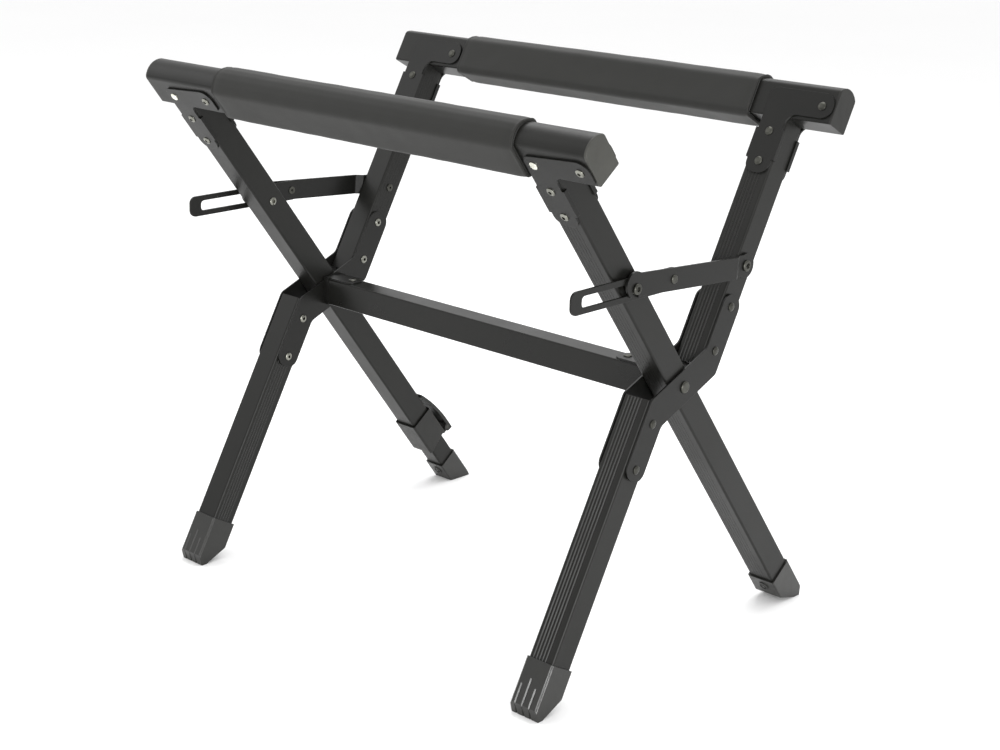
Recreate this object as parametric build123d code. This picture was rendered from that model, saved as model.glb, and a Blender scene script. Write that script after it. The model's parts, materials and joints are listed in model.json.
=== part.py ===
from build123d import *
import os
from math import atan2, cos, degrees, hypot, radians, sin, tan

# Folding sawhorse: two padded D-section rails carried by two scissor frames.
# X runs along the rails, -Y is the near side, +Z is up. The origin lies on the ground,
# under the middle of the bounding box.

# ---- driving dimensions (mm, degrees) ----
PIVOT_Y = -9.11           # scissor pivot axis, from the middle of the stance
LEAN_A = 37.8             # straight legs lean this far from the vertical, top towards -Y
LEAN_B = 28.4             # split legs lean this far, top towards +Y
SPLIT = 30.6              # split-leg tubes lie this far to either side of the pivot
FRAME_X = {"left": -286.5, "right": 260.5}
OUTWARD = {"left": -1, "right": 1}

TUBE = 32.0               # square leg tube
TUBE_WALL = 2.0
TUBE_RADIUS = 2.5
GROOVE_DEEP = 0.9         # V grooves along most split-leg tubes
GROOVE_SHALLOW = 0.25     # fainter lines on the other grooved tubes
GROOVE_PITCH = 4.1
GROOVE_COUNT = 5
GROOVE_SHIFT = -1.8       # the grooves sit slightly off the middle of the face

RAIL_LENGTH = 658.0
RAIL_DEPTH = 32.0         # flat side to flat side
RAIL_SIDE = 38.5          # height of the flat sides
RAIL_RISE = 7.0           # rise of the arched side above the shoulders
RAIL_WALL = 2.2
CAP_FLANGE = 2.5
SEAT_A = 324.5            # rail seat above the pivot, along the straight leg
SEAT_B = 311.5            # rail seat above the pivot, along the split leg
FOAM = 5.5                # foam thickness
FOAM_GAP = 0.25

MOUTH = 29.0              # open tube ends stop this far from the pivot
PLATE = 2.0
PAD = 1.0                 # step that holds a gusset clear of the straight leg
GUSSET_INNER = 15.0       # edges of a gusset arm, from the split-leg centre line
GUSSET_OUTER = 46.0
GUSSET_END = 113.0
GUSSET_RIVETS = (50.2, 100.4)
PIVOT_DIAMETER = 8.0

LINK_WIDTH = 24.0
LINK_PLATE = 2.5
LEVER_FACE = 19.4         # inner face of the slotted lever, from the frame centre
LINK_FACE = 22.2          # inner face of the lock link
LINK_PAD_FACE = 16.6      # inner face of the joggled link end
STUD_ALONG = 156.0        # lock stud, up the straight leg from the pivot
HINGE_ALONG = 147.6       # link hinge, up the split leg from the pivot
KNEE = 133.0              # knee rivet, from the link hinge
TAIL_LIFT = 4.0           # link centre line passes this far above the stud
LEVER_LENGTH = 144.0      # knee to the centre of the lever's rounded tip
SLOT_WIDTH = 12.0
SLOT_START = 38.0
SLOT_END = 140.5

RIVET_HEAD = 9.5
RIVET_SHANK = 4.8
RIVET_DOME = 1.9

FOOT_WALL = 2.0
FOOT_TIP = 61.0           # cap top to its lowest edge
FOOT_OUTER = 49.0         # cap top to the bottom of its outward side
FOOT_INNER = 28.5         # cap top to the bottom of its inward side
FOOT_TIP_OUT = 6.5        # lowest edge, outward from the tube centre
FOOT_TOP_B = 316.5        # cap top below the pivot on the split legs
FOOT_TRIM = 2.5           # worn flat: height cut off the lowest edge
FOOT_SOCKET = 27.0        # depth of tube held in a foot
FLAT_FOOT_INNER = 31.0    # the levelling foot stands on a level sole: its inward side
FLAT_FOOT_OUTER = 47.0    # its outward side
FLAT_FOOT_TIP_OUT = 12.5  # its sole ends this far outward from the tube centre
MARK_PITCH = 9.5          # tread marks on a foot
MARK_SHIFT = -1.5

BAR_Y = -2.5              # crossbar centre from the pivot axis
BAR_DEPTH = 28.0
BAR_HEIGHT = 32.0
BAR_GAP = 9.0             # gusset to bar end
BAR_RIVET = 37.0          # gusset to the rivet through the clip and the bar
CLIP_REACH = 48.0         # gusset to the rounded end of the clip's top tab

INNER_TUBE = 27.0         # levelling tube
INNER_WALL = 2.0
INNER_OVERLAP = 62.0      # levelling tube held inside the leg
COLLAR_TOP = 262.0        # collar edges below the pivot, along the straight leg
COLLAR_BOTTOM = 320.0
LEG_CUT = 306.0           # outer tube end inside the collar

LEVER_PIN = (TUBE / 2 + 9.5, -312.0)   # clamp lever hinge, in the straight leg's Y and Z

# ---- derived frames ----
TIP_DROP = FOOT_TOP_B + FOOT_TIP
TIP_Z = -TIP_DROP * cos(radians(LEAN_B)) + (SPLIT + FOOT_TIP_OUT) * sin(radians(LEAN_B))
FOOT_TOP_A = (-TIP_Z + FOOT_TIP_OUT * sin(radians(LEAN_A))) / cos(radians(LEAN_A)) - FOOT_TIP
PIVOT_Z = -TIP_Z - FOOT_TRIM
FLAT_FOOT_HALF = INNER_TUBE / 2 + FOOT_WALL
FLAT_FOOT_RISE = tan(radians(LEAN_A))
FLAT_FOOT_TIP = FLAT_FOOT_INNER + FLAT_FOOT_RISE * (FLAT_FOOT_HALF + FLAT_FOOT_TIP_OUT)
FLAT_FOOT_TOP = PIVOT_Z / cos(radians(LEAN_A)) - FLAT_FOOT_RISE * FLAT_FOOT_HALF - FLAT_FOOT_INNER
LEG_A = Location((0, PIVOT_Y, PIVOT_Z), (LEAN_A, 0, 0))
LEG_B = Location((0, PIVOT_Y, PIVOT_Z), (-LEAN_B, 0, 0))
HALF = TUBE / 2


def point_on(lean, along, behind=0.0):
    """Y and Z of a point on a leg: along its axis, then behind it."""
    a = radians(lean)
    return (PIVOT_Y + behind * cos(a) - along * sin(a), PIVOT_Z + behind * sin(a) + along * cos(a))


STUD_YZ = point_on(LEAN_A, STUD_ALONG)
HINGE_YZ = point_on(-LEAN_B, HINGE_ALONG, SPLIT)
TAIL_YZ = (STUD_YZ[0], STUD_YZ[1] + TAIL_LIFT)
LINK_ANGLE = atan2(TAIL_YZ[1] - HINGE_YZ[1], TAIL_YZ[0] - HINGE_YZ[0])
LINK_REACH = hypot(TAIL_YZ[1] - HINGE_YZ[1], TAIL_YZ[0] - HINGE_YZ[0])
KNEE_YZ = (HINGE_YZ[0] + KNEE * cos(LINK_ANGLE), HINGE_YZ[1] + KNEE * sin(LINK_ANGLE))
LEVER_ANGLE = atan2(STUD_YZ[1] - KNEE_YZ[1], STUD_YZ[0] - KNEE_YZ[0])


# ---- helpers ----
def box(x0, x1, y0, y1, z0, z1):
    """Axis-aligned block between the given bounds."""
    size = (abs(x1 - x0), abs(y1 - y0), abs(z1 - z0))
    return Pos((x0 + x1) / 2, (y0 + y1) / 2, (z0 + z1) / 2) * Box(*size)


def rod_x(x0, x1, y, z, radius):
    """Round bar along X between x0 and x1."""
    return Pos((x0 + x1) / 2, y, z) * Rot(0, 90, 0) * Cylinder(radius, abs(x1 - x0))


def rod_y(y0, y1, x, z, radius):
    """Round bar along Y between y0 and y1."""
    return Pos(x, (y0 + y1) / 2, z) * Rot(90, 0, 0) * Cylinder(radius, abs(y1 - y0))


def save(name, *shapes):
    """Write one node: a single solid, or a group of separate solids."""
    shape = shapes[0] if len(shapes) == 1 else Compound(children=list(shapes))
    shape.label = name
    export_step(shape, f"parts/{name}.step")


def square_tube(size, wall, z0, z1, grooved=None, depth=0.0, radius=TUBE_RADIUS):
    """Square tube along Z. grooved is 'x' or 'y': the pair of faces that carries the V grooves."""
    profile = RectangleRounded(size, size, radius)
    profile -= RectangleRounded(size - 2 * wall, size - 2 * wall, max(radius - wall, 0.4))
    if grooved:
        notch = Rot(0, 0, 45) * Rectangle(depth * 2 ** 0.5, depth * 2 ** 0.5)
        for k in range(GROOVE_COUNT):
            place = (k - (GROOVE_COUNT - 1) / 2) * GROOVE_PITCH + GROOVE_SHIFT
            for side in (-1, 1):
                spot = (place, side * size / 2) if grooved == "y" else (side * size / 2, place)
                profile -= Pos(*spot) * notch
    return extrude(Plane.XY.offset(z0) * profile, z1 - z0)


def blind_rivet(grip, ringed=True, head=RIVET_HEAD, shank=RIVET_SHANK, dome=RIVET_DOME):
    """Pop rivet pointing down -Z: head underside at z=0, grip is the stack it holds.
    A ringed rivet shows its hollow bore; a plain one has a closed dome."""
    half = head / 2
    bore = 0.42 * shank
    crest = 0.15 * half
    outline = Polyline((0, 0), (half, 0), (half, 0.4 * dome))
    outline += ThreePointArc((half, 0.4 * dome), (0.66 * half, 0.86 * dome), (crest, dome))
    outline += Polyline((crest, dome), (0, dome), (0, 0))
    body = revolve(Plane.XZ * make_face(outline), Axis.Z)
    body += Pos(0, 0, -grip / 2) * Cylinder(shank / 2, grip)
    body += Pos(0, 0, -grip - 1.5) * Cylinder(0.68 * shank, 3.0)
    if ringed:
        body -= Pos(0, 0, dome - grip / 2) * Cylinder(bore, 2 * dome + grip)
    return body


# ---- rails ----
def rail_outline(grow=0.0, corner=2.0):
    """D section in the leg's own plane, centred on Y=0, seat at Z=0."""
    half = RAIL_DEPTH / 2 + grow
    rise = RAIL_RISE
    edge = Polyline((-half, RAIL_SIDE), (-half, -grow), (half, -grow), (half, RAIL_SIDE))
    edge += ThreePointArc((half, RAIL_SIDE), (0, RAIL_SIDE + rise + grow), (-half, RAIL_SIDE))
    face = make_face(edge)
    low = face.vertices().group_by(Axis.Y)[0]
    face = fillet(low, corner)
    shoulders = [v for v in face.vertices() if abs(v.Y - RAIL_SIDE) < 0.1]
    return fillet(shoulders, 6.0 + 0.6 * grow)


def rail_solid(x0, x1, outline):
    """Sweep a section drawn in (Y, Z) along X."""
    return extrude(Plane.YZ.offset(x0) * outline, x1 - x0)


def make_rail(leg, seat, behind):
    """Hollow D extrusion with its open ends."""
    end = RAIL_LENGTH / 2 - CAP_FLANGE
    section = rail_outline() - offset(rail_outline(), -RAIL_WALL)
    return leg * Pos(0, behind, seat) * rail_solid(-end, end, section)


def make_rail_cap(leg, seat, behind, side):
    """End plug: a flange flush with the rail and a hollow spigot inside it."""
    end = RAIL_LENGTH / 2
    flange = extrude(Plane.YZ * rail_outline(), CAP_FLANGE)
    flange = fillet(flange.faces().sort_by(Axis.X)[-1].edges(), 0.9)
    spigot = offset(rail_outline(), -RAIL_WALL - 0.1)
    spigot -= offset(rail_outline(), -RAIL_WALL - 2.1)
    cap = flange + extrude(Plane.YZ.offset(-8) * spigot, 8)
    cap = Pos(end - CAP_FLANGE, 0, 0) * cap
    if side == "left":
        cap = mirror(cap, Plane.YZ)
    return leg * Pos(0, behind, seat) * cap


def make_sleeve(leg, seat, behind, x0, x1):
    """Foam sleeve drawn tightly over the rail."""
    outer = rail_outline(FOAM, 8.0)
    inner = rail_outline(FOAM_GAP, 2.0)
    sleeve = rail_solid(x0, x1, outer) - rail_solid(x0 - 1, x1 + 1, inner)
    return leg * Pos(0, behind, seat) * sleeve


# ---- rail brackets: flat plates with one arm towards +X and lips round the leg ----
ARM_X = 53.0
ARM_RADIUS = 13.5
LEG_RIVETS = (-18.0, -52.5)
ARM_RIVET = 17.5
CORNER_RIVET = (-4.5, 16.0)


def bracket_outline(near_rail):
    """Front view: X across, Y up from the rail seat. The near rail's has a sloping top."""
    top = ARM_RIVET + ARM_RADIUS + 1.5
    low = ARM_RIVET - ARM_RADIUS
    left = -15.0
    right = 15.0
    base = -66.0
    end = ARM_X + ARM_RADIUS
    crown = top - 5.5 if near_rail else top
    edge = [(left, crown), (left, base), (right, base), (right, low), (end, low), (end, top)]
    face = make_face(Polyline(*edge, close=True))
    rounds = [((right, low), 9.0 if near_rail else 12.0), ((left, base), 12.0), ((right, base), 12.0)]
    rounds += [((left, crown), 9.0), ((end, low), 5.0 if near_rail else 12.5), ((end, top), 13.5)]
    for spot, radius in rounds:
        corner = [v for v in face.vertices() if hypot(v.X - spot[0], v.Y - spot[1]) < 0.1]
        face = fillet(corner, radius)
    return face


def make_bracket(leg, x, seat, behind, face_side, holes, near_rail):
    """face_side -1 lies on the near face of the leg, +1 on its back face."""
    plate = extrude(Plane.XZ * bracket_outline(near_rail), PLATE / 2, both=True)
    plate = Pos(0, HALF + PLATE / 2, 0) * plate
    for side in (-1, 1):
        web = box(side * 14.5, side * (HALF + 1.8), HALF, HALF + PLATE, -49.5, -15)
        lip = box(side * (HALF + 0.05), side * (HALF + 1.8), HALF - 3, HALF + PLATE, -49.5, -15)
        plate += web + lip
    for hx, hz in holes:
        plate -= rod_y(HALF - 1, HALF + PLATE + 1, hx, hz, RIVET_SHANK / 2)
    if face_side < 0:
        plate = mirror(plate, Plane.XZ)
    return leg * Pos(x, behind, seat) * plate


def bracket_holes(face_side, near_rail):
    """Rivet places (X, Z from the seat) on one bracket."""
    holes = [(0, LEG_RIVETS[0]), (0, LEG_RIVETS[1]), (ARM_X, ARM_RIVET)]
    if near_rail and face_side < 0:
        holes.append(CORNER_RIVET)
    return holes


def place_bracket_rivet(leg, x, seat, behind, face_side, spot, ringed):
    """A blind rivet standing on the bracket, pointing into the leg or rail."""
    rivet = Rot(-90 * face_side, 0, 0) * blind_rivet(PLATE + TUBE_WALL + 0.4, ringed)
    lift = face_side * (HALF + PLATE)
    return leg * Pos(x + spot[0], behind + lift, seat + spot[1]) * rivet


def drill_legwards(shape, leg, x, seat, behind, near_rail):
    """Clear the bracket rivets' shanks and bulbs through a tube or rail wall."""
    for face_side in (-1, 1):
        for hx, hz in bracket_holes(face_side, near_rail):
            near = face_side * (HALF - 8)
            far = face_side * (HALF + 1)
            tool = Pos(x, behind, seat) * rod_y(near, far, hx, hz, RIVET_SHANK / 2)
            shape = shape - leg * tool
    return shape


# ---- gussets, pivot and split-leg rivets ----
def gusset_faces():
    """Z-shaped outline and its two contact pads, drawn in (Y, Z) of the split leg."""
    band = 48.0
    heel = 28.0
    points = [(-GUSSET_OUTER, -heel), (GUSSET_INNER, band), (GUSSET_INNER, GUSSET_END)]
    points += [(GUSSET_OUTER, GUSSET_END), (GUSSET_OUTER, heel), (-GUSSET_INNER, -band)]
    points += [(-GUSSET_INNER, -GUSSET_END), (-GUSSET_OUTER, -GUSSET_END)]
    face = make_face(Polyline(*points, close=True))
    ends = [v for v in face.vertices() if abs(abs(v.Y) - GUSSET_END) < 0.1]
    face = fillet(ends, 13.0)
    heels = [v for v in face.vertices() if abs(abs(v.Y) - heel) < 0.1]
    face = fillet(heels, 9.0)
    bands = [v for v in face.vertices() if abs(abs(v.Y) - band) < 0.1]
    face = fillet(bands, 12.0)
    pads = Sketch()
    for along in GUSSET_RIVETS:
        for side in (-1, 1):
            pads += Pos(side * SPLIT, side * along) * Circle(8.5)
    return face, pads


def make_gusset(frame, side):
    """side +1 is the face towards +X of that frame."""
    face, pads = gusset_faces()
    x = FRAME_X[frame]
    start = HALF + PAD if side > 0 else -HALF - PAD - PLATE
    plate = extrude(Plane.YZ.offset(start) * face, PLATE)
    pad_start = HALF if side > 0 else -HALF - PAD
    plate += extrude(Plane.YZ.offset(pad_start) * pads, PAD)
    plate -= rod_x(-40, 40, 0, 0, PIVOT_DIAMETER / 2)
    for along in GUSSET_RIVETS:
        for end in (-1, 1):
            plate -= rod_x(-40, 40, end * SPLIT, end * along, RIVET_SHANK / 2)
    return LEG_B * Pos(x, 0, 0) * plate


def make_gusset_rivets(frame):
    """Eight blind rivets, four on either face of the frame."""
    rivets = []
    for side in (-1, 1):
        for along in GUSSET_RIVETS:
            for end in (-1, 1):
                place = Pos(FRAME_X[frame] + side * (HALF + PAD + PLATE), end * SPLIT, end * along)
                turn = Rot(0, 90 * side, 0)
                ringed = side != OUTWARD[frame]
                rivet = blind_rivet(PAD + PLATE + TUBE_WALL + 0.4, ringed)
                rivets.append(LEG_B * place * turn * rivet)
    return rivets


def make_pivot(frame):
    """Shouldered pivot rivet through both gussets and the straight leg."""
    x = FRAME_X[frame]
    edge = HALF + PAD + PLATE
    pin = rod_x(x - edge, x + edge, 0, 0, PIVOT_DIAMETER / 2)
    for side in (-1, 1):
        head = Pos(x + side * (edge + 1.2), 0, 0) * Rot(0, 90 * side, 0) * Cylinder(6.6, 2.4)
        head = fillet(head.edges().sort_by(Axis.X)[-1 if side > 0 else 0], 1.8)
        pin += head
    return LEG_B * pin


def make_washers(frame):
    """Low-friction washers between the straight leg and its gussets."""
    rings = []
    for side in (-1, 1):
        x = FRAME_X[frame] + side * (HALF + PAD / 2)
        ring = rod_x(x - 0.4, x + 0.4, 0, 0, 11) - rod_x(x - 1, x + 1, 0, 0, 4.2)
        rings.append(LEG_A * ring)
    return rings


# ---- lock: link, slotted lever, stud ----
def lock_plane(frame, yz, angle, face):
    """Plane facing outward; local X runs along the piece, face is the distance from the frame."""
    sign = OUTWARD[frame]
    origin = (FRAME_X[frame] + sign * face, yz[0], yz[1])
    return Plane(origin=origin, x_dir=(0, cos(angle), sin(angle)), z_dir=(sign, 0, 0))


def downward(frame):
    """Local Y sign that points down on a lock plane."""
    return 1 if OUTWARD[frame] > 0 else -1


def make_link(frame):
    """Joggled flat link: hinge eye at the split leg, hook over the stud at its tail."""
    down = downward(frame)
    body = Pos(LINK_REACH / 2, 0) * Rectangle(LINK_REACH, LINK_WIDTH)
    body += Circle(13.5) + Pos(LINK_REACH + 1, 0) * Circle(14)
    dy = STUD_YZ[0] - HINGE_YZ[0]
    dz = STUD_YZ[1] - HINGE_YZ[1]
    stud_u = dy * cos(LINK_ANGLE) + dz * sin(LINK_ANGLE)
    stud_v = down * TAIL_LIFT * abs(cos(LINK_ANGLE))
    notch = Pos(stud_u, stud_v) * Circle(3.9)
    mouth = [(stud_u - 3.9, stud_v), (stud_u - 3.9, down * 20), (stud_u + 11.5, down * 20)]
    mouth.append((stud_u + 3.9, stud_v))
    notch += make_face(Polyline(*mouth, close=True))
    body -= notch
    body -= Circle(3.05) + Pos(KNEE, 0) * Circle(3.0)
    plane = lock_plane(frame, HINGE_YZ, LINK_ANGLE, LINK_PAD_FACE)
    step = LINK_FACE - LINK_PAD_FACE
    end = LINK_REACH + 20
    side_view = [(-20, 0), (15, 0), (24, step), (end, step), (end, step + LINK_PLATE)]
    side_view += [(23, step + LINK_PLATE), (14, LINK_PLATE), (-20, LINK_PLATE)]
    strip = make_face(Polyline(*side_view, close=True))
    strip = fillet(strip.vertices().filter_by_position(Axis.X, 10, 30), 2.0)
    joggle = extrude(Plane.XZ * strip, 20, both=True)
    return plane.location * (joggle & extrude(body, 12))


def make_lever(frame):
    """Flat lever with a long slot that slides over the stud."""
    body = Pos(LEVER_LENGTH / 2, 0) * Rectangle(LEVER_LENGTH, LINK_WIDTH)
    body += Circle(LINK_WIDTH / 2)
    tip = Pos(LEVER_LENGTH - 6, 0) * RectangleRounded(36, LINK_WIDTH, 8)
    body += tip
    slot_middle = (SLOT_START + SLOT_END) / 2
    body -= Pos(slot_middle, 0) * RectangleRounded(SLOT_END - SLOT_START, SLOT_WIDTH, 4.5)
    body -= Circle(3.05)
    plane = lock_plane(frame, KNEE_YZ, LEVER_ANGLE, LEVER_FACE)
    return plane.location * extrude(body, LINK_PLATE)


def make_stud(frame):
    """Stepped stud: flange, bush for the lever's slot, neck for the hook and ringed head."""
    neck_top = LINK_FACE + LINK_PLATE + 0.3
    stud = Pos(0, 0, HALF + 1.7) * Cylinder(7.5, 2.8)
    stud += Pos(0, 0, (HALF + 3.1 + 22.0) / 2) * Cylinder(5.6, 22.0 - HALF - 3.1)
    stud += Pos(0, 0, (22.0 + neck_top) / 2) * Cylinder(3.5, neck_top - 22.0)
    head = Pos(0, 0, neck_top + 1.1) * Cylinder(5.8, 2.2)
    stud += fillet(head.edges().sort_by(Axis.Z)[-1], 1.4)
    stud -= Pos(0, 0, neck_top + 1.8) * Cylinder(2.6, 2.4)
    plane = lock_plane(frame, STUD_YZ, LEVER_ANGLE, 0)
    return plane.location * stud


def make_stud_tail(frame):
    """The stud's riveted end, flat on the inner face of the straight leg."""
    plane = lock_plane(frame, STUD_YZ, LEVER_ANGLE, 0)
    return plane.location * Pos(0, 0, -HALF) * Rot(180, 0, 0) * blind_rivet(TUBE_WALL + 0.4)


def make_hinge_rivet(frame):
    """Tubular rivet through the link's eye and right through the split leg."""
    plane = lock_plane(frame, HINGE_YZ, LINK_ANGLE, 0)
    top = LINK_PAD_FACE + LINK_PLATE + 0.25
    pin = Pos(0, 0, (top - HALF) / 2) * Cylinder(3.0, top + HALF)
    head = Pos(0, 0, top + 1.1) * Cylinder(6.2, 2.2)
    pin += fillet(head.edges().sort_by(Axis.Z)[-1], 1.5)
    tail = Pos(0, 0, -HALF - 0.8) * Cylinder(4.75, 1.6)
    pin += fillet(tail.edges().sort_by(Axis.Z)[0], 0.9)
    pin -= Cylinder(1.5, 80)
    pin -= Pos(0, 0, top + 2.0) * Cylinder(3.0, 2.0)
    return plane.location * pin


def make_knee_rivet(frame):
    """Rivet that joins the lever to the link: round head outside, low ring inside."""
    plane = lock_plane(frame, KNEE_YZ, LINK_ANGLE, 0)
    top = LINK_FACE + LINK_PLATE
    bottom = LEVER_FACE - 0.15
    pin = Pos(0, 0, (top + bottom) / 2) * Cylinder(3.0, top - bottom)
    head = Pos(0, 0, top + 0.9) * Cylinder(4.75, 1.8)
    pin += fillet(head.edges().sort_by(Axis.Z)[-1], 1.6)
    pin += Pos(0, 0, bottom - 0.4) * Cylinder(4.6, 0.8)
    pin -= Pos(0, 0, bottom + 0.6) * Cylinder(1.4, 3.0)
    return plane.location * pin


# ---- legs ----
def make_straight_leg(frame):
    """One tube from the near rail down to the back foot."""
    x = FRAME_X[frame]
    low = -FOOT_TOP_A - FOOT_SOCKET if frame == "right" else -LEG_CUT
    grooved = "y" if frame == "right" else None
    tube = square_tube(TUBE, TUBE_WALL, low, SEAT_A, grooved, GROOVE_SHALLOW)
    leg = LEG_A * Pos(x, 0, 0) * tube
    leg -= LEG_A * rod_x(x - 20, x + 20, 0, 0, PIVOT_DIAMETER / 2 + 0.08)
    inner = x - OUTWARD[frame] * HALF
    leg -= LEG_A * rod_x(inner - 4, inner + 4, 0, STUD_ALONG, RIVET_SHANK / 2)
    return drill_legwards(leg, LEG_A, x, SEAT_A, 0, True)


def make_split_leg(frame, end):
    """end +1 is the upper tube behind the pivot, -1 the lower tube in front of it."""
    x = FRAME_X[frame]
    bounds = (MOUTH, SEAT_B) if end > 0 else (-FOOT_TOP_B - FOOT_SOCKET, -MOUTH)
    depth = GROOVE_SHALLOW if end > 0 and frame == "left" else GROOVE_DEEP
    tube = square_tube(TUBE, TUBE_WALL, *bounds, "y" if frame == "right" else "x", depth)
    leg = LEG_B * Pos(x, end * SPLIT, 0) * tube
    for along in GUSSET_RIVETS:
        leg -= LEG_B * rod_x(x - 20, x + 20, end * SPLIT, end * along, RIVET_SHANK / 2)
    if end > 0:
        leg -= LEG_B * rod_x(x - 20, x + 20, SPLIT, HINGE_ALONG, 3.0)
        leg = drill_legwards(leg, LEG_B, x, SEAT_B, SPLIT, False)
    return leg


# ---- feet ----
WEDGE_FOOT = (FOOT_INNER, FOOT_OUTER, FOOT_TIP_OUT, FOOT_TIP)
FLAT_FOOT = (FLAT_FOOT_INNER, FLAT_FOOT_OUTER, FLAT_FOOT_TIP_OUT, FLAT_FOOT_TIP)
SOLE_SPARE = 0.4          # extra sole that the ground plane cuts off
RING_DEPTH = 13.5         # moulded ring, below the top of the cap


def make_foot(tube_size, outward, top, leg, x, behind, sizes):
    """Moulded cap: shaped sole, tread marks on the outward face, ring on the inward face.
    outward is +1 where the foot's outward side faces +Y of the leg, else -1."""
    inner, outer, tip_out, tip = sizes
    inner += SOLE_SPARE
    tip += SOLE_SPARE
    half = tube_size / 2 + FOOT_WALL
    profile = [(-half, 0), (-half, -outer), (-tip_out, -tip), (half, -inner), (half, 0)]
    foot = extrude(Plane.YZ * make_face(Polyline(*profile, close=True)), half, both=True)
    upright = foot.edges().filter_by(Axis.Z).group_by(Axis.Y)[0]
    foot = chamfer(upright, 2.2)
    back = foot.edges().filter_by(Axis.Z).group_by(Axis.Y)[-1]
    foot = fillet(back, 1.8)
    socket = tube_size / 2 + 0.1
    foot = foot - box(-socket, socket, -socket, socket, -FOOT_SOCKET - 0.5, 1)
    notch = Rot(0, 0, 45) * Rectangle(2.2, 2.2)
    toe_angle = degrees(atan2(half - tip_out, tip - outer))
    for k in (-1, 0, 1):
        mark_top = -20 if k == 0 else -28
        mark_x = k * MARK_PITCH + MARK_SHIFT
        foot -= extrude(Plane.XY.offset(-tip) * Pos(mark_x, -half) * notch, tip + mark_top)
        foot -= Pos(mark_x, -tip_out, -tip) * Rot(-toe_angle, 0, 0) * Box(2, 30, 2.6)
    bevel = Pos(half - 1.1, -half + 1.1) * Rot(0, 0, 45) * Rectangle(0.8, 0.8)
    foot -= extrude(Plane.XY.offset(-outer) * bevel, outer - 1)
    ring = rod_y(half - 0.5, half + 1.2, 0, -RING_DEPTH, 6.5)
    ring -= rod_y(half + 0.3, half + 2, 0, -RING_DEPTH, 4.6)
    ring += rod_y(half - 0.5, half + 1.0, 0, -RING_DEPTH, 2.4)
    foot += ring
    if outward > 0:
        foot = Rot(0, 0, 180) * foot
    foot = leg * Pos(x, behind, -top) * foot
    return foot - box(-400, 400, -400, 400, -60, 0)


# ---- crossbar ----
def make_crossbar():
    """Rectangular tube between the two inner gussets."""
    inset = HALF + PAD + PLATE + BAR_GAP
    x0 = FRAME_X["left"] + inset
    x1 = FRAME_X["right"] - inset
    profile = RectangleRounded(BAR_HEIGHT, BAR_DEPTH, 1.6)
    profile -= RectangleRounded(BAR_HEIGHT - 4, BAR_DEPTH - 4, 0.6)
    bar = extrude(Plane.YZ.offset(x0) * Rot(0, 0, 90) * profile, x1 - x0)
    for x in (x0 + BAR_RIVET - BAR_GAP, x1 - BAR_RIVET + BAR_GAP):
        bar -= Pos(x, 0, BAR_HEIGHT / 2) * Cylinder(RIVET_SHANK / 2, 12)
    return Pos(0, PIVOT_Y + BAR_Y, PIVOT_Z) * bar


def make_bar_clip(frame):
    """Folded clip between a gusset and the crossbar: base, two side walls and a long top tab."""
    inward = -OUTWARD[frame]
    sheet = 2.0
    half_depth = BAR_DEPTH / 2 + 0.6
    half_height = BAR_HEIGHT / 2
    lid = half_height + sheet
    clip = box(-half_depth, half_depth, -half_height, lid, 0, sheet)
    for side in (-1, 1):
        inner = side * (half_depth - sheet)
        clip += box(side * half_depth, inner, -half_height, lid, 0, BAR_GAP - 0.5)
    tab = box(-half_depth + 1.6, half_depth - 1.6, half_height, lid, 0, CLIP_REACH)
    tips = tab.edges().filter_by(Axis.Y).group_by(Axis.Z)[-1]
    clip += fillet(tips, 11.0)
    clip -= Pos(-BAR_Y, 0, 0) * Cylinder(7.4, 12)
    clip -= rod_y(half_height - 2, lid + 2, 0, BAR_RIVET, RIVET_SHANK / 2)
    x = FRAME_X[frame] + inward * (HALF + PAD + PLATE)
    plane = Plane(origin=(x, PIVOT_Y + BAR_Y, PIVOT_Z), x_dir=(0, inward, 0), z_dir=(inward, 0, 0))
    if inward < 0:
        clip = mirror(clip, Plane.YZ)
    return plane.location * clip


def make_bar_rivets():
    """One blind rivet through the top of the bar near each end."""
    rivets = []
    for frame in ("left", "right"):
        inward = -OUTWARD[frame]
        x = FRAME_X[frame] + inward * (HALF + PAD + PLATE + BAR_RIVET)
        place = Pos(x, PIVOT_Y + BAR_Y, PIVOT_Z + BAR_HEIGHT / 2 + 2)
        rivets.append(place * blind_rivet(4.3, False))
    return rivets


# ---- levelling leg (left back) ----
def make_collar():
    """Clamp collar: a sleeve over the leg end that necks down round the inner tube."""
    size = TUBE + 5.0
    shell = Pos(0, 0, -(COLLAR_TOP + COLLAR_BOTTOM) / 2) * Box(size, size, COLLAR_BOTTOM - COLLAR_TOP)
    shell = fillet(shell.edges().filter_by(Axis.Z), 3.0)
    slope = [(-size, -COLLAR_BOTTOM - 1), (size, -COLLAR_BOTTOM - 1), (size, -COLLAR_BOTTOM + 14)]
    shell -= extrude(Plane.YZ * make_face(Polyline(*slope, close=True)), size, both=True)
    shell -= box(-HALF - 0.1, HALF + 0.1, -HALF - 0.1, HALF + 0.1, -LEG_CUT, -COLLAR_TOP + 1)
    flare = HALF + 1.6
    shell -= box(-flare, flare, -flare, flare, -COLLAR_TOP - 1.6, -COLLAR_TOP + 1)
    bore = INNER_TUBE / 2 + 0.35
    shell -= box(-bore, bore, -bore, bore, -COLLAR_BOTTOM - 1, -LEG_CUT + 1)
    for side in (-1, 1):
        y_range = (size / 2 - 2, LEVER_PIN[0] + 4)
        z_range = (LEVER_PIN[1] - 5, LEVER_PIN[1] + 6)
        shell += box(side * 10.5, side * 14.5, *y_range, *z_range)
    shell -= rod_x(-20, 20, *LEVER_PIN, 2.55)
    return LEG_A * Pos(FRAME_X["left"], 0, 0) * shell


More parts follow.
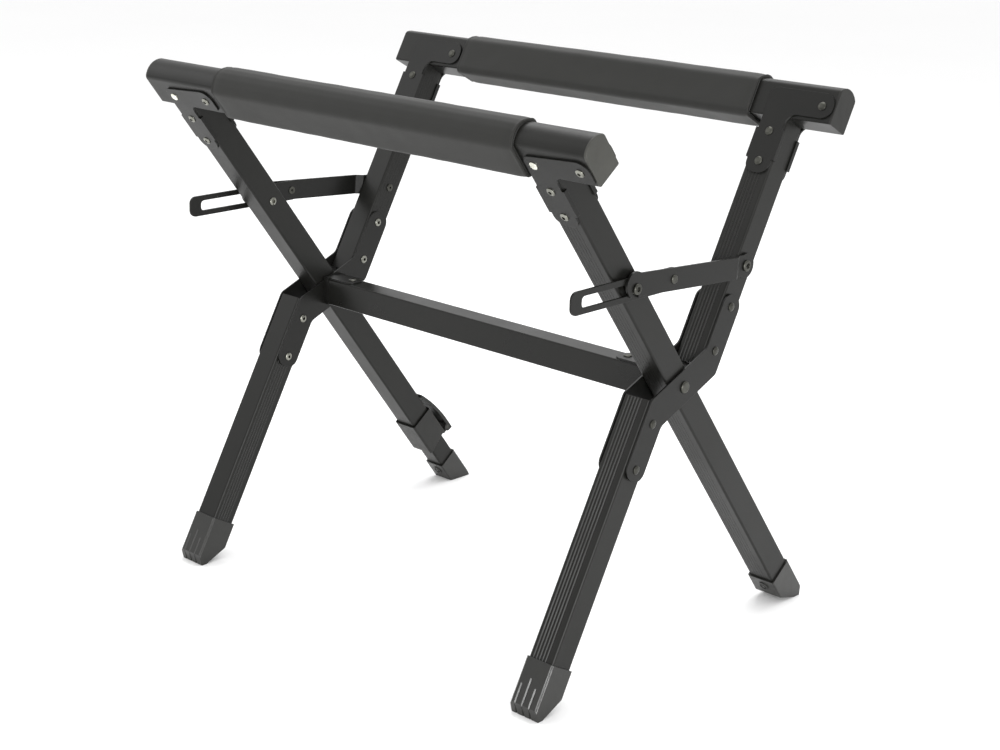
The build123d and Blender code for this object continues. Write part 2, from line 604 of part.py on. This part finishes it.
def make_cam_lever():
    """Curved clamp lever: cam barrel at the bottom, finger end above the collar."""
    y0, z0 = LEVER_PIN
    edge = ThreePointArc((y0 + 5.4, z0), (y0 + 2.6, z0 + 42), (y0 - 6.0, z0 + 76))
    edge += Line((y0 - 6.0, z0 + 76), (y0 - 9.0, z0 + 74))
    edge += ThreePointArc((y0 - 9.0, z0 + 74), (y0 - 1.6, z0 + 42), (y0 + 0.4, z0))
    edge += Line((y0 + 0.4, z0), (y0 + 5.4, z0))
    blade = extrude(Plane.YZ * make_face(edge), 17.5, both=True)
    blade += rod_x(-17.5, 17.5, y0, z0, 5.4)
    blade += box(-17.5, 17.5, y0, y0 + 5.4, z0 - 6.0, z0 + 1)
    for side in (-1, 1):
        blade -= box(side * 10.1, side * 14.9, y0 - 6, y0 + 6, z0 - 7, z0 + 10)
    blade -= rod_x(-20, 20, y0, z0, 2.55)
    return LEG_A * Pos(FRAME_X["left"], 0, 0) * blade


def make_lever_pin():
    """Hinge pin of the clamp lever."""
    pin = rod_x(-17.4, 17.4, LEVER_PIN[0], LEVER_PIN[1], 2.5)
    return LEG_A * Pos(FRAME_X["left"], 0, 0) * pin


def make_inner_tube():
    """Levelling tube that slides in the left back leg."""
    tube = square_tube(INNER_TUBE, INNER_WALL, -FLAT_FOOT_TOP - FOOT_SOCKET, -LEG_CUT + INNER_OVERLAP)
    return LEG_A * Pos(FRAME_X["left"], 0, 0) * tube


# ---- build every node ----
os.makedirs("parts", exist_ok=True)

RAILS = {"near": (LEG_A, SEAT_A, 0.0), "far": (LEG_B, SEAT_B, SPLIT)}
SLEEVE_ENDS = {"near": (-206.0, 241.0), "far": (-215.0, 226.0)}
for row, (leg, seat, behind) in RAILS.items():
    rail = make_rail(leg, seat, behind)
    for frame in ("left", "right"):
        x = FRAME_X[frame]
        rail = drill_legwards(rail, leg, x, seat, behind, row == "near")
        save(f"{row}_rail_cap_{frame}", make_rail_cap(leg, seat, behind, frame))
        rivets = []
        for face_side, face_name in ((-1, "front"), (1, "back")):
            holes = bracket_holes(face_side, row == "near")
            near_rail = row == "near"
            bracket = make_bracket(leg, x, seat, behind, face_side, holes, near_rail)
            save(f"{row}_rail_{face_name}_bracket_{frame}", bracket)
            for spot in holes[:3]:
                ringed = near_rail and face_side < 0
                rivets.append(place_bracket_rivet(leg, x, seat, behind, face_side, spot, ringed))
        save(f"{row}_bracket_rivets_{frame}", *rivets)
    save(f"{row}_rail", rail)
    save(f"{row}_foam_sleeve", make_sleeve(leg, seat, behind, *SLEEVE_ENDS[row]))

corner_rivets = []
for frame in ("left", "right"):
    rivet = place_bracket_rivet(LEG_A, FRAME_X[frame], SEAT_A, 0, -1, CORNER_RIVET, False)
    corner_rivets.append(rivet)
save("bright_corner_rivets", *corner_rivets)

for frame in ("left", "right"):
    x = FRAME_X[frame]
    save(f"straight_leg_{frame}", make_straight_leg(frame))
    save(f"split_leg_upper_{frame}", make_split_leg(frame, 1))
    save(f"split_leg_lower_{frame}", make_split_leg(frame, -1))
    save(f"gusset_outer_{frame}", make_gusset(frame, OUTWARD[frame]))
    save(f"gusset_inner_{frame}", make_gusset(frame, -OUTWARD[frame]))
    save(f"gusset_rivets_{frame}", *make_gusset_rivets(frame))
    save(f"pivot_rivet_{frame}", make_pivot(frame))
    save(f"pivot_washers_{frame}", *make_washers(frame))
    save(f"lock_link_{frame}", make_link(frame))
    save(f"slotted_lever_{frame}", make_lever(frame))
    save(f"lock_stud_{frame}", make_stud(frame))
    save(f"knee_rivet_{frame}", make_knee_rivet(frame))
    save(f"crossbar_clip_{frame}", make_bar_clip(frame))
    front_foot = make_foot(TUBE, -1, FOOT_TOP_B, LEG_B, x, -SPLIT, WEDGE_FOOT)
    save(f"front_foot_{frame}", front_foot)
back_foot = make_foot(TUBE, 1, FOOT_TOP_A, LEG_A, FRAME_X["right"], 0, WEDGE_FOOT)
save("back_foot_right", back_foot)
flat_foot = make_foot(INNER_TUBE, 1, FLAT_FOOT_TOP, LEG_A, FRAME_X["left"], 0, FLAT_FOOT)
save("levelling_foot", flat_foot)
save("stud_tails", make_stud_tail("left"), make_stud_tail("right"))
save("link_hinge_rivets", make_hinge_rivet("left"), make_hinge_rivet("right"))
save("crossbar", make_crossbar())
save("crossbar_rivets", *make_bar_rivets())
save("levelling_collar", make_collar())
save("levelling_tube", make_inner_tube())
save("clamp_lever", make_cam_lever())
save("clamp_lever_pin", make_lever_pin())
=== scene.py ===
import bmesh
import bpy
import json
from math import cos, radians, sin
from mathutils import Matrix, Vector, noise


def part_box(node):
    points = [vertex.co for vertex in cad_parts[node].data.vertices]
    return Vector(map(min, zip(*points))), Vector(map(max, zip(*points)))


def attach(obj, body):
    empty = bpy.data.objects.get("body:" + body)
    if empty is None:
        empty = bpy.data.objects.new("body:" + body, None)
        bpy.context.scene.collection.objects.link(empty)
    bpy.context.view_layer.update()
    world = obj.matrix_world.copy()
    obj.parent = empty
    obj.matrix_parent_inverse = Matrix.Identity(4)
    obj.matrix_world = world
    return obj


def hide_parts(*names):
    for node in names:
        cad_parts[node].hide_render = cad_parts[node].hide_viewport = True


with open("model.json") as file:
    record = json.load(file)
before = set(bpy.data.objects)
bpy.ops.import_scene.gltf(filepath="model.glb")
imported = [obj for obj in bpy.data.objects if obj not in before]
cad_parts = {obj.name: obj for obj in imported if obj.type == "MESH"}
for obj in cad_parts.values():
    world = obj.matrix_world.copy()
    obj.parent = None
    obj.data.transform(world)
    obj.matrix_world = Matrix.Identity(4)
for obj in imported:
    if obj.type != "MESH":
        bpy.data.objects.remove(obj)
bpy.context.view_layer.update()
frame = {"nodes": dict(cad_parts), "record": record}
NODES = frame["nodes"]
RECORD = frame["record"]
JOINTS = {j["name"]: j for j in RECORD["behaviour"]["joints"]}
PIVOT = Vector(JOINTS["fold"]["pos_m"])
MM = 0.001


def middle_x(node):
    """X of the middle of a node's box."""
    low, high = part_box(node)
    return (low[0] + high[0]) / 2


LEFT_FRAME = middle_x("straight_leg_left")
RIGHT_FRAME = middle_x("straight_leg_right")
FRAMES_MIDDLE = (LEFT_FRAME + RIGHT_FRAME) / 2
FRAME_REACH = (RIGHT_FRAME - LEFT_FRAME) / 2


# ---------------------------------------------------------------- materials
class Graph:
    """A new node material with small helpers for wiring."""

    def __init__(self, name):
        self.mat = bpy.data.materials.new(name)
        self.mat.use_nodes = True
        self.tree = self.mat.node_tree
        self.bsdf = self.tree.nodes["Principled BSDF"]
        coord = self.tree.nodes.new("ShaderNodeTexCoord")
        self.place = coord.outputs["Object"]

    def node(self, kind, **values):
        made = self.tree.nodes.new(kind)
        for key, value in values.items():
            setattr(made, key, value)
        return made

    def link(self, a, b):
        self.tree.links.new(a, b)

    def noise(self, scale, detail=3.0, rough=0.55, stretch=None):
        tex = self.node("ShaderNodeTexNoise")
        tex.inputs["Scale"].default_value = scale
        tex.inputs["Detail"].default_value = detail
        tex.inputs["Roughness"].default_value = rough
        if stretch:
            mapping = self.node("ShaderNodeMapping")
            mapping.inputs["Scale"].default_value = stretch
            self.link(self.place, mapping.inputs["Vector"])
            self.link(mapping.outputs["Vector"], tex.inputs["Vector"])
        else:
            self.link(self.place, tex.inputs["Vector"])
        return tex.outputs["Fac"]

    def cells(self, scale):
        tex = self.node("ShaderNodeTexVoronoi")
        tex.inputs["Scale"].default_value = scale
        self.link(self.place, tex.inputs["Vector"])
        return tex.outputs["Distance"]

    def ramp(self, value, low, high, a=0.0, b=1.0):
        made = self.node("ShaderNodeMapRange")
        made.inputs["From Min"].default_value = low
        made.inputs["From Max"].default_value = high
        made.inputs["To Min"].default_value = a
        made.inputs["To Max"].default_value = b
        self.link(value, made.inputs["Value"])
        return made.outputs["Result"]

    def mix(self, factor, a, b):
        made = self.node("ShaderNodeMix", data_type="RGBA")
        self.link(factor, made.inputs["Factor"])
        for socket, colour in (("A", a), ("B", b)):
            target = [s for s in made.inputs if s.name == socket and s.type == "RGBA"][0]
            if isinstance(colour, tuple):
                target.default_value = (*colour, 1)
            else:
                self.link(colour, target)
        return [s for s in made.outputs if s.type == "RGBA"][0]

    def bump(self, height, strength, distance, normal=None):
        made = self.node("ShaderNodeBump")
        made.inputs["Strength"].default_value = strength
        made.inputs["Distance"].default_value = distance
        self.link(height, made.inputs["Height"])
        if normal:
            self.link(normal, made.inputs["Normal"])
        return made.outputs["Normal"]

    def soft_edge(self, radius):
        made = self.node("ShaderNodeBevel", samples=4)
        made.inputs["Radius"].default_value = radius
        return made.outputs["Normal"]


def shade(value, tint=(1.0, 1.0, 0.88)):
    """Slightly warm grey of the given brightness."""
    return tuple(value * t for t in tint)


def painted(name, value, rough, grain=0.05, edge=0.0006, gloss=0.23):
    """Powder coat: fine orange peel, faint cloudy tone, dust in the rough patches."""
    g = Graph(name)
    cloud = g.noise(scale=14.0, detail=4.0)
    dust_and_pore_shade = g.noise(scale=900.0, detail=2.0)
    base = g.mix(g.ramp(cloud, 0.35, 0.7), shade(value * 0.86), shade(value * 1.16))
    dusty = g.mix(g.ramp(dust_and_pore_shade, 0.62, 0.78, 0.0, 0.55), base, shade(value * 2.2))
    g.link(dusty, g.bsdf.inputs["Base Color"])
    g.link(g.ramp(cloud, 0.3, 0.7, rough - 0.05, rough + 0.07), g.bsdf.inputs["Roughness"])
    orange_peel = g.noise(scale=1500.0, detail=2.0)
    peel = g.bump(orange_peel, strength=0.25, distance=grain * MM, normal=g.soft_edge(edge))
    g.link(peel, g.bsdf.inputs["Normal"])
    g.bsdf.inputs["Specular IOR Level"].default_value = gloss
    return g.mat


def moulded(name, value, rough, grain=0.08, edge=0.0008, gloss=0.3):
    """Moulded plastic: spark-eroded grain with scuffed high spots."""
    g = Graph(name)
    cloud = g.noise(scale=22.0, detail=5.0)
    scuff = g.noise(scale=160.0, detail=4.0, rough=0.7, stretch=(1.0, 1.0, 0.25))
    base = g.mix(g.ramp(cloud, 0.35, 0.7), shade(value * 0.85), shade(value * 1.2))
    worn = g.mix(g.ramp(scuff, 0.62, 0.8, 0.0, 0.6), base, shade(value * 2.0))
    g.link(worn, g.bsdf.inputs["Base Color"])
    g.link(g.ramp(scuff, 0.4, 0.75, rough, rough + 0.12), g.bsdf.inputs["Roughness"])
    spark_grain = g.cells(scale=1400.0)
    skin = g.bump(spark_grain, strength=0.5, distance=grain * MM, normal=g.soft_edge(edge))
    g.link(skin, g.bsdf.inputs["Normal"])
    g.bsdf.inputs["Specular IOR Level"].default_value = gloss
    return g.mat


OUTER_BLEND = 0.0003      # half the width of the step to the outer sides' tone


def metal(name, value, rough, grain=0.03, edge=0.0005, outer_value=None):
    """Rivet steel: cloudy sheen with small pits. outer_value is the tone on the frames' outer sides."""
    g = Graph(name)
    cloud = g.noise(scale=120.0, detail=4.0)
    base = g.mix(g.ramp(cloud, 0.35, 0.7), shade(value * 0.75), shade(value * 1.25))
    if outer_value:
        axes = g.node("ShaderNodeSeparateXYZ")
        g.link(g.place, axes.inputs[0])
        middle = g.node("ShaderNodeMath", operation="ADD")
        middle.inputs[1].default_value = -FRAMES_MIDDLE
        g.link(axes.outputs["X"], middle.inputs[0])
        reach = g.node("ShaderNodeMath", operation="ABSOLUTE")
        g.link(middle.outputs[0], reach.inputs[0])
        outer = g.ramp(reach.outputs[0], FRAME_REACH - OUTER_BLEND, FRAME_REACH + OUTER_BLEND)
        base = g.mix(outer, base, shade(outer_value))
    g.link(base, g.bsdf.inputs["Base Color"])
    g.bsdf.inputs["Metallic"].default_value = 1.0
    g.link(g.ramp(cloud, 0.3, 0.7, rough - 0.06, rough + 0.1), g.bsdf.inputs["Roughness"])
    pitting = g.noise(scale=2200.0, detail=2.0)
    pits = g.bump(pitting, strength=0.3, distance=grain * MM, normal=g.soft_edge(edge))
    g.link(pits, g.bsdf.inputs["Normal"])
    return g.mat


def foam(name, value):
    """Closed-cell foam: matt skin with fine pores, painted shade in the pores, and a faint long crease
    pattern.
    """
    g = Graph(name)
    cloud = g.noise(scale=9.0, detail=5.0)
    pores = g.cells(scale=900.0)
    base = g.mix(g.ramp(cloud, 0.3, 0.72), shade(value * 0.86), shade(value * 1.15))
    # Painted shade: the colour darkens towards each pore's centre, in step with the pits of the pore
    # bump.
    dust_and_pore_shade = g.mix(g.ramp(pores, 0.0, 0.35, 0.5, 0.0), base, shade(value * 0.45))
    g.link(dust_and_pore_shade, g.bsdf.inputs["Base Color"])
    g.link(g.ramp(cloud, 0.3, 0.7, 0.58, 0.70), g.bsdf.inputs["Roughness"])
    g.bsdf.inputs["Specular IOR Level"].default_value = 0.3
    g.bsdf.inputs["Sheen Weight"].default_value = 0.05
    g.bsdf.inputs["Sheen Roughness"].default_value = 0.5
    skin = g.bump(pores, strength=0.35, distance=0.06 * MM)
    folds = g.noise(scale=60.0, detail=4.0, rough=0.6, stretch=(0.25, 1.0, 1.0))
    crease = g.bump(folds, strength=0.3, distance=0.35 * MM, normal=skin)
    g.link(crease, g.bsdf.inputs["Normal"])
    return g.mat


MATERIALS = {
    "tube_paint": painted("tube powder coat", value=0.0078, rough=0.37),
    "crossbar_paint": painted("crossbar powder coat", value=0.0080, rough=0.30),
    "plate_paint": painted("plate powder coat", value=0.0058, rough=0.35, grain=0.04),
    "black_rivet_steel": metal("blackened rivet steel", value=0.075, rough=0.34),
    "ring_rivet_steel": metal("worn rivet rings", value=0.25, rough=0.30, outer_value=0.06),
    "bright_steel": metal("bright zinc steel", value=0.80, rough=0.20),
    "foam": foam("closed-cell foam", value=0.0125),
    "foot_plastic": moulded("foot plastic", value=0.012, rough=0.30, gloss=0.45),
    "black_plastic": moulded("black moulded plastic", value=0.0095, rough=0.40),
    "grey_plastic": moulded("grey moulded plastic", value=0.040, rough=0.50),
}

# These rings straddle the frames' middles, so they have one tone all over.
BRACKET_RINGS = metal("worn bracket rivet rings", value=0.25, rough=0.30)

for part in RECORD["subparts"]:
    obj = NODES[part["node"]]
    finish = MATERIALS[part["material_slot"]]
    if part["node"].startswith("near_bracket_rivets"):
        finish = BRACKET_RINGS
    for used in obj.material_slots:
        used.link = "OBJECT"
        used.material = finish


# ---------------------------------------------------------------- foam sleeves
# Millimetres, as the rails and their foam are drawn.
RAIL_HALF = 16.0          # half the distance between the rail's flat sides
RAIL_SIDE = 38.5          # height of the flat sides
RAIL_RISE = 7.0           # rise of the arched side above the shoulders
CHORDS = 6                # straight stretches that the arched side is rounded from
CHORD_RADIUS = 9.0        # rounds the corners between them
SKIN_GROW = 5.4           # foam skin, outside the rail
LIP_GROW = 3.2            # rolled end
BORE_GROW = 0.35          # inner wall
SKIN_INSET = 0.45         # keeps the uneven skin inside the foam's true outline
AROUND = 112              # mesh points round a sleeve
ALONG = 150               # mesh steps along it
END_FLAT = 2.0            # from a sleeve's end to its first full ring
END_TAPER = 14.0          # the foam thins towards its ends over this length
END_THINNING = 1.1
RIPPLE = 0.42             # long waves in the foam
DENT = 0.22               # shorter ones
LEGS = {
    "near": {"lean": 37.8, "seat": 324.5, "behind": 0.0, "body": "front_frame"},
    "far": {"lean": -28.4, "seat": 311.5, "behind": 30.6, "body": "rear_frame"},
}


def round_off(points, radii, steps=7):
    """Closed outline with each corner replaced by a smooth arc."""
    outline = []
    count = len(points)
    for i in range(count):
        here = Vector(points[i])
        before = (Vector(points[i - 1]) - here).normalized()
        after = (Vector(points[(i + 1) % count]) - here).normalized()
        half = before.angle(after) / 2
        reach = radii[i] * cos(half) / sin(half)
        centre = here + (before + after).normalized() * (radii[i] / sin(half))
        a = here + before * reach - centre
        b = here + after * reach - centre
        for s in range(steps + 1):
            outline.append(centre + a.lerp(b, s / steps).normalized() * radii[i])
    return outline


def d_outline(grow, low_radius, high_radius):
    """D section in (Y, Z): flat sides, level bottom, arched top made of short chords."""
    half = RAIL_HALF + grow
    points = [(half, RAIL_SIDE), (half, -grow), (-half, -grow), (-half, RAIL_SIDE)]
    radii = [high_radius, low_radius, low_radius, high_radius]
    for k in range(1, CHORDS):
        y = -half + 2 * half * k / CHORDS
        z = RAIL_SIDE + (RAIL_RISE + grow) * (1 - (y / half) ** 2)
        points.append((y, z))
        radii.append(CHORD_RADIUS)
    return round_off(points, radii)


def even(outline, count):
    """The same closed outline with count evenly spaced points, starting from its first point."""
    length = [0.0]
    for i in range(len(outline)):
        length.append(length[-1] + (outline[(i + 1) % len(outline)] - outline[i]).length)
    spaced = []
    i = 0
    for k in range(count):
        want = length[-1] * k / count
        while length[i + 1] < want:
            i += 1
        part = (want - length[i]) / max(length[i + 1] - length[i], 1e-9)
        spaced.append(outline[i].lerp(outline[(i + 1) % len(outline)], part))
    return spaced


def make_sleeve(row):
    """Foam tube over a rail: soft outer skin, rolled end lips and a close inner wall."""
    leg = LEGS[row]
    node = f"{row}_foam_sleeve"
    low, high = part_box(node)
    x0, x1 = low[0] / MM, high[0] / MM
    outer = even(d_outline(SKIN_GROW, low_radius=8.0, high_radius=8.5), AROUND)
    lip = even(d_outline(LIP_GROW, low_radius=6.5, high_radius=7.0), AROUND)
    inner = even(d_outline(BORE_GROW, low_radius=2.2, high_radius=2.6), AROUND)
    centre = Vector((0, RAIL_SIDE / 2))
    rings = []
    for k in range(ALONG + 1):
        x = x0 + END_FLAT + (x1 - x0 - 2 * END_FLAT) * (k / ALONG)
        from_end = min(x - x0, x1 - x) / END_TAPER
        thinning = END_THINNING * (1 - min(1.0, from_end)) ** 2
        ring = []
        for p in outer:
            ripple = RIPPLE * noise.noise(Vector((x * 0.012, p.x * 0.03, p.y * 0.03)))
            dent = DENT * noise.noise(Vector((x * 0.045, p.x * 0.05 + 7, p.y * 0.05)))
            out = (p - centre).normalized()
            ring.append((x, p + out * (ripple + dent - thinning - SKIN_INSET)))
        rings.append(ring)
    start = [[(x0 + 0.5, a.lerp(b, 0.35)) for a, b in zip(outer, lip)]]
    close = [[(x1 - 0.5, a.lerp(b, 0.35)) for a, b in zip(outer, lip)]]
    start = [[(x0, p) for p in lip]] + start
    close = close + [[(x1, p) for p in lip]]
    bore = [[(x, p) for p in inner] for x in (x1 - 0.2, x1 - 30, x0 + 30, x0 + 0.2)]
    rings = start + rings + close + bore
    bm = bmesh.new()
    lean = radians(leg["lean"])
    grid = []
    for ring in rings:
        row_verts = []
        for x, p in ring:
            y = leg["behind"] + p.x
            z = leg["seat"] + p.y
            spot = Vector((x, y * cos(lean) - z * sin(lean), y * sin(lean) + z * cos(lean))) * MM
            row_verts.append(bm.verts.new(Vector((0, PIVOT.y, PIVOT.z)) + spot))
        grid.append(row_verts)
    for a, b in zip(grid, grid[1:] + grid[:1]):
        for i in range(AROUND):
            j = (i + 1) % AROUND
            bm.faces.new((a[i], a[j], b[j], b[i]))
    bmesh.ops.recalc_face_normals(bm, faces=bm.faces)
    for face in bm.faces:
        face.smooth = True
    mesh = bpy.data.meshes.new(f"{row}_foam")
    bm.to_mesh(mesh)
    bm.free()
    sleeve = bpy.data.objects.new(f"{row}_foam", mesh)
    bpy.context.scene.collection.objects.link(sleeve)
    mesh.materials.append(MATERIALS["foam"])
    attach(sleeve, leg["body"])
    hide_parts(node)


for name in LEGS:
    make_sleeve(name)


# ---------------------------------------------------------------- floor, light, camera
FLOOR_HALF = 9.0
FLOOR_DROP = 0.0002       # keeps the floor just under the soles
CAMERA_PLACE = (1.36779, -1.48627, 0.88091)
CAMERA_YAW = -0.77443     # radians from +Y, turned towards -X
CAMERA_PITCH = 0.27334    # radians, tipped down
CAMERA_ROLL = 0.0203
CAMERA_LENS = 65.46       # on a sensor 36 mm wide
CAMERA_SHIFT = (0.0581, -0.0476)


def make_floor():
    """Pale floor, wide enough to fill every view."""
    bm = bmesh.new()
    bmesh.ops.create_grid(bm, x_segments=8, y_segments=8, size=FLOOR_HALF)
    mesh = bpy.data.meshes.new("floor")
    bm.to_mesh(mesh)
    bm.free()
    floor = bpy.data.objects.new("floor", mesh)
    floor.location.z = -FLOOR_DROP
    bpy.context.scene.collection.objects.link(floor)
    g = Graph("pale floor")
    tone = g.mix(g.noise(scale=1.5, detail=3.0), (0.94, 0.94, 0.94), (0.96, 0.96, 0.96))
    g.link(tone, g.bsdf.inputs["Base Color"])
    g.bsdf.inputs["Roughness"].default_value = 0.8
    g.bsdf.inputs["Specular IOR Level"].default_value = 0.1
    mesh.materials.append(g.mat)


def area_light(name, spot, target, size, power):
    """Soft rectangular light at spot, facing target."""
    light = bpy.data.lights.new(name, "AREA")
    light.shape = "RECTANGLE"
    light.size, light.size_y = size
    light.energy = power
    obj = bpy.data.objects.new(name, light)
    obj.location = spot
    aim = Vector(target) - Vector(spot)
    obj.rotation_euler = aim.to_track_quat("-Z", "Y").to_euler()
    bpy.context.scene.collection.objects.link(obj)


def make_camera():
    """Long lens, turned 44 degrees left of +Y and tipped 16 degrees down."""
    yaw, pitch, roll = CAMERA_YAW, CAMERA_PITCH, CAMERA_ROLL
    forward = Vector((sin(yaw) * cos(pitch), cos(yaw) * cos(pitch), -sin(pitch)))
    right = Vector((cos(yaw), -sin(yaw), 0))
    up = right.cross(forward)
    across = right * cos(roll) + up * sin(roll)
    upward = up * cos(roll) - right * sin(roll)
    data = bpy.data.cameras.new("camera")
    data.sensor_width = 36.0
    data.lens = CAMERA_LENS
    data.shift_x, data.shift_y = CAMERA_SHIFT
    data.clip_end = 40
    camera = bpy.data.objects.new("camera", data)
    turn = Matrix((across, upward, -forward)).transposed().to_4x4()
    camera.matrix_world = Matrix.Translation(CAMERA_PLACE) @ turn
    bpy.context.scene.collection.objects.link(camera)
    bpy.context.scene.camera = camera


make_floor()
area_light("overhead", spot=(-0.4, 0.9, 2.6), target=(0, 0, 0.4), size=(2.4, 2.4), power=45)
area_light("right strip", spot=(2.75, -1.85, 0.80), target=(0, 0, 0.3), size=(0.7, 1.3), power=75)
area_light("left wash", spot=(-2.2, -1.2, 1.9), target=(0, 0, 0.4), size=(1.6, 1.6), power=8)
world = bpy.data.worlds.new("studio")
world.use_nodes = True
world.node_tree.nodes["Background"].inputs["Color"].default_value = (1, 1, 1, 1)
world.node_tree.nodes["Background"].inputs["Strength"].default_value = 1.02
bpy.context.scene.world = world
bpy.context.scene.view_settings.view_transform = "Standard"
make_camera()
